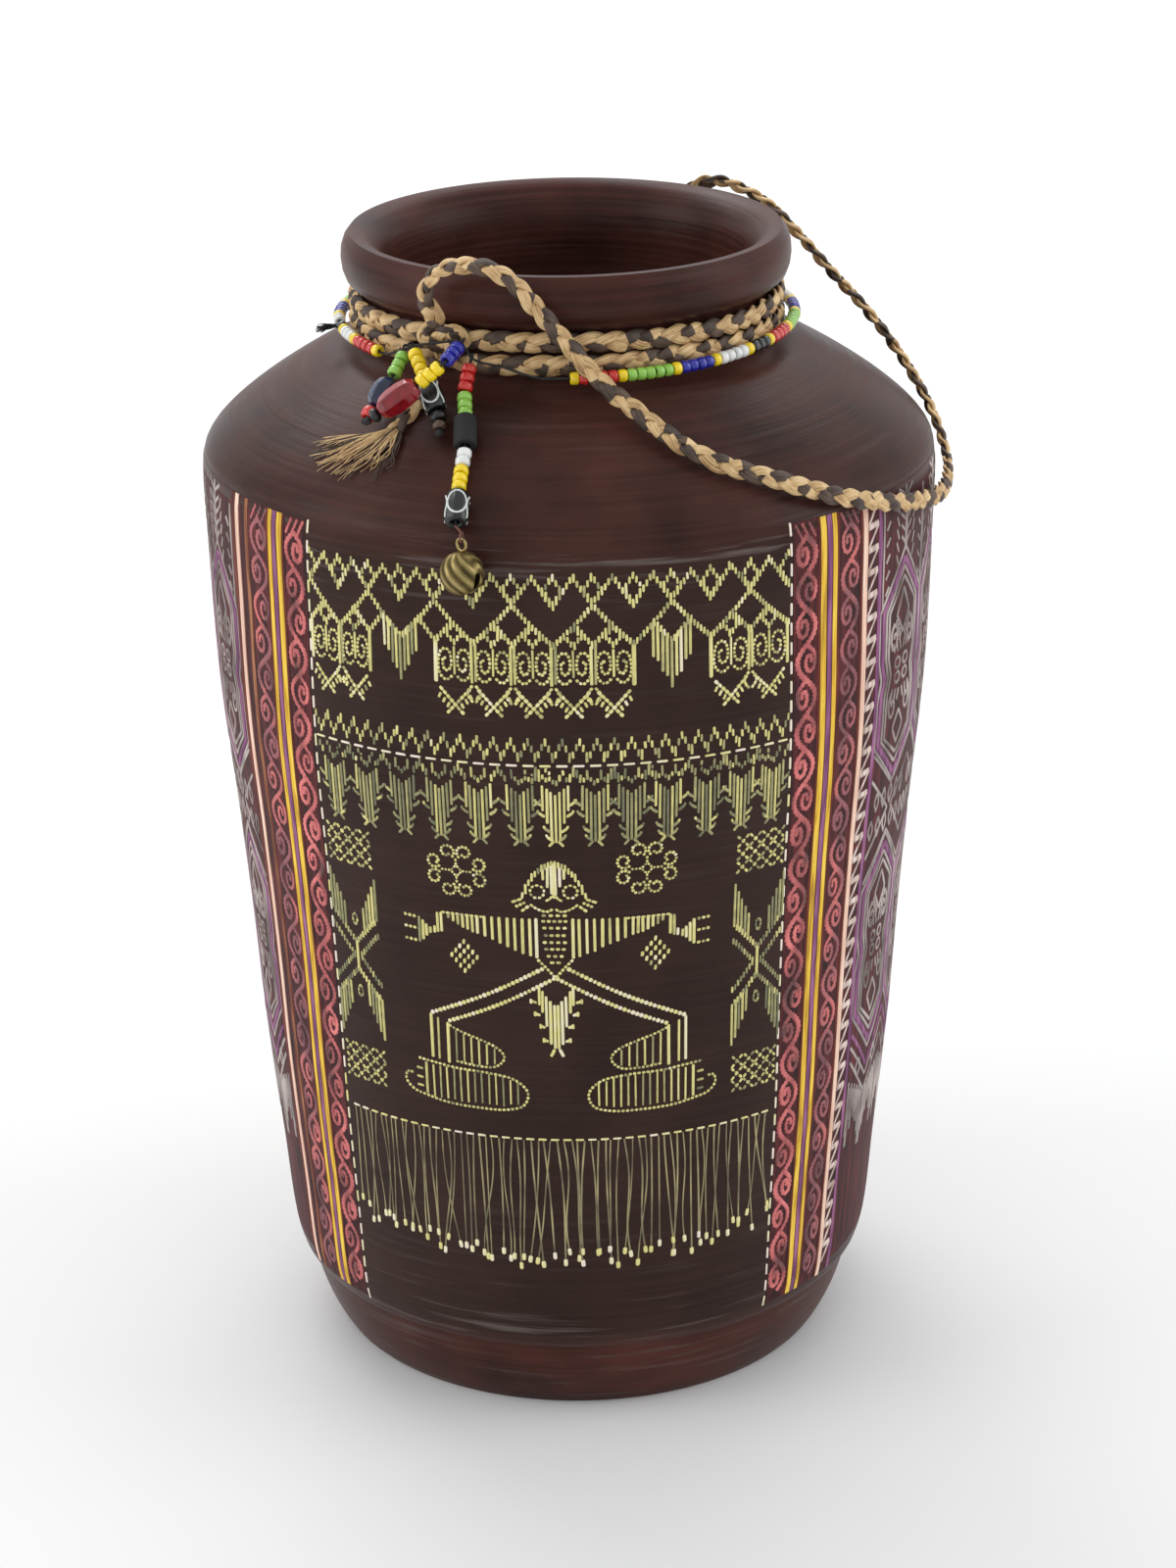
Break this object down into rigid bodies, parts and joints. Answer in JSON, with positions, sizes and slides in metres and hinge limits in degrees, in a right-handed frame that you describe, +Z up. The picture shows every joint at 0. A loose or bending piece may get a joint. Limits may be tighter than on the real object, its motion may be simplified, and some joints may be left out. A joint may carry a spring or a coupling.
{
  "type": "pottery vase",
  "caption": "wide-mouthed pottery vase with a braided carrying strap, a seed-bead necklace and four bead drops, one with a small brass bell",
  "frame": {"origin": "middle of the flat underside of the foot", "axes": "+Z up through the mouth, -Y towards the viewer's side with the bead drops, +X to the viewer's right"},
  "size_m": [0.2052, 0.2087, 0.3281],
  "materials": {
    "clay": "low-fired clay, dark brown slip burnished to a satin sheen",
    "braid": "three-strand braid of straw-coloured and dark brown plant fibre",
    "fibre": "loose frayed plant fibre",
    "black_thread": "twisted black cotton thread",
    "brown_thread": "twisted brown cotton thread",
    "necklace_beads": "opaque glass seed beads in yellow, red, green, blue, white and black",
    "red_beads": "opaque glass, glossy",
    "green_beads": "opaque glass, glossy",
    "yellow_beads": "opaque glass, glossy",
    "blue_beads": "opaque glass, glossy",
    "white_beads": "opaque glass, glossy",
    "blue_glass": "dark blue faceted glass",
    "red_glass": "deep red faceted glass",
    "horn": "carved black horn, softly polished",
    "brown_bead": "small brown wooden bead",
    "brass": "cast brass with dark patina"
  },
  "bodies": {
    "root": {"pot": "clay", "neck_wrap": "braid", "front_knot": "braid", "rear_knot": "braid", "carrying_strap": "braid", "tail": "braid", "frayed_end": "fibre", "necklace_beads_1": "necklace_beads", "necklace_beads_2": "necklace_beads", "necklace_beads_3": "necklace_beads", "necklace_beads_4": "necklace_beads", "necklace_beads_5": "necklace_beads", "necklace_beads_6": "necklace_beads", "necklace_thread": "black_thread", "thread_tuft": "black_thread"},
    "blue_drop": {"blue_drop_thread": "black_thread", "blue_drop_green_beads": "green_beads", "blue_drop_red_bead": "red_beads"},
    "blue_glass_bead": {"blue_glass_bead": "blue_glass"},
    "horn_drop": {"horn_drop_thread": "black_thread", "horn_drop_yellow_beads": "yellow_beads", "horn_drop_black_bead": "horn", "horn_drop_brown_bead": "brown_bead"},
    "horn_drop_carved_bead": {"horn_drop_carved_bead": "horn"},
    "red_drop": {"red_drop_thread": "black_thread", "red_drop_blue_beads": "blue_beads", "red_drop_yellow_beads": "yellow_beads", "red_drop_black_bead": "horn"},
    "red_glass_bead": {"red_glass_bead": "red_glass"},
    "bell_drop_upper": {"bell_drop_upper_thread": "black_thread", "bell_drop_red_beads": "red_beads", "bell_drop_green_beads": "green_beads"},
    "bell_drop_black_bead": {"bell_drop_black_bead": "horn"},
    "bell_drop_middle": {"bell_drop_middle_thread": "black_thread", "bell_drop_white_beads": "white_beads", "bell_drop_yellow_beads": "yellow_beads"},
    "bell_drop_lower": {"bell_drop_lower_thread": "black_thread"},
    "bell_drop_carved_bead": {"bell_drop_carved_bead": "horn"},
    "bell_cord": {"bell_cord": "brown_thread"},
    "bell": {"bell": "brass"},
    "bell_pellet": {"bell_pellet": "brass"}
  },
  "joints": [
    {"name": "blue_drop_sway", "type": "hinge", "parent": "root", "child": "blue_drop", "pos_m": [-0.04182, -0.04711, 0.3], "axis": [0.4157, 0.499, -0.7604], "range_deg": [0, 25]},
    {"name": "horn_drop_sway", "type": "hinge", "parent": "root", "child": "horn_drop", "pos_m": [-0.04018, -0.05033, 0.3016], "axis": [-0.1885, -0.6085, 0.7708], "range_deg": [0, 4]},
    {"name": "red_drop_lift", "type": "hinge", "parent": "root", "child": "red_drop", "pos_m": [-0.02706, -0.0591, 0.3048], "axis": [-0.4942, 0.8337, 0.2466], "range_deg": [0, 45]},
    {"name": "bell_drop_upper_sway", "type": "hinge", "parent": "root", "child": "bell_drop_upper", "pos_m": [-0.02472, -0.05881, 0.3004], "axis": [-0.255, -0.9669, 0], "range_deg": [0, 20]},
    {"name": "bell_drop_middle_sway", "type": "hinge", "parent": "bell_drop_upper", "child": "bell_drop_middle", "pos_m": [-0.02633, -0.07977, 0.28268], "axis": [-0.255, -0.9669, 0], "range_deg": [-8, 18]},
    {"name": "bell_drop_lower_lift", "type": "hinge", "parent": "bell_drop_middle", "child": "bell_drop_lower", "pos_m": [-0.02803, -0.09085, 0.27455], "axis": [-0.9785, 0.1629, -0.1269], "range_deg": [0, 25]},
    {"name": "bell_cord_lift", "type": "hinge", "parent": "bell_drop_lower", "child": "bell_cord", "pos_m": [-0.02872, -0.09954, 0.26853], "axis": [-0.9475, 0.2499, -0.1995], "range_deg": [0, 40]},
    {"name": "bell_swing", "type": "hinge", "parent": "bell_cord", "child": "bell", "pos_m": [-0.02723, -0.10306, 0.26519], "axis": [-0.255, -0.9669, 0], "range_deg": [-25, 25]},
    {"name": "bell_pellet_roll", "type": "hinge", "parent": "bell", "child": "bell_pellet", "pos_m": [-0.02723, -0.10306, 0.25704], "axis": [-0.255, -0.9669, 0], "range_deg": [-35, 35]},
    {"name": "blue_glass_bead_spin", "type": "hinge", "parent": "blue_drop", "child": "blue_glass_bead", "pos_m": [-0.04795, -0.05621, 0.29093], "axis": [-0.5313, -0.382, -0.7562], "continuous": true},
    {"name": "red_glass_bead_spin", "type": "hinge", "parent": "red_drop", "child": "red_glass_bead", "pos_m": [-0.04341, -0.06796, 0.29257], "axis": [-0.8104, -0.0026, -0.5859], "continuous": true},
    {"name": "horn_drop_carved_bead_spin", "type": "hinge", "parent": "horn_drop", "child": "horn_drop_carved_bead", "pos_m": [-0.03515, -0.06363, 0.2918], "axis": [0.2994, -0.747, -0.5936], "continuous": true},
    {"name": "bell_drop_black_bead_spin", "type": "hinge", "parent": "bell_drop_upper", "child": "bell_drop_black_bead", "pos_m": [-0.02633, -0.07539, 0.28544], "axis": [-0.0003, -0.8464, -0.5325], "continuous": true},
    {"name": "bell_drop_carved_bead_spin", "type": "hinge", "parent": "bell_drop_lower", "child": "bell_drop_carved_bead", "pos_m": [-0.02839, -0.09534, 0.27153], "axis": [-0.0646, -0.8245, -0.5621], "continuous": true}
  ]
}
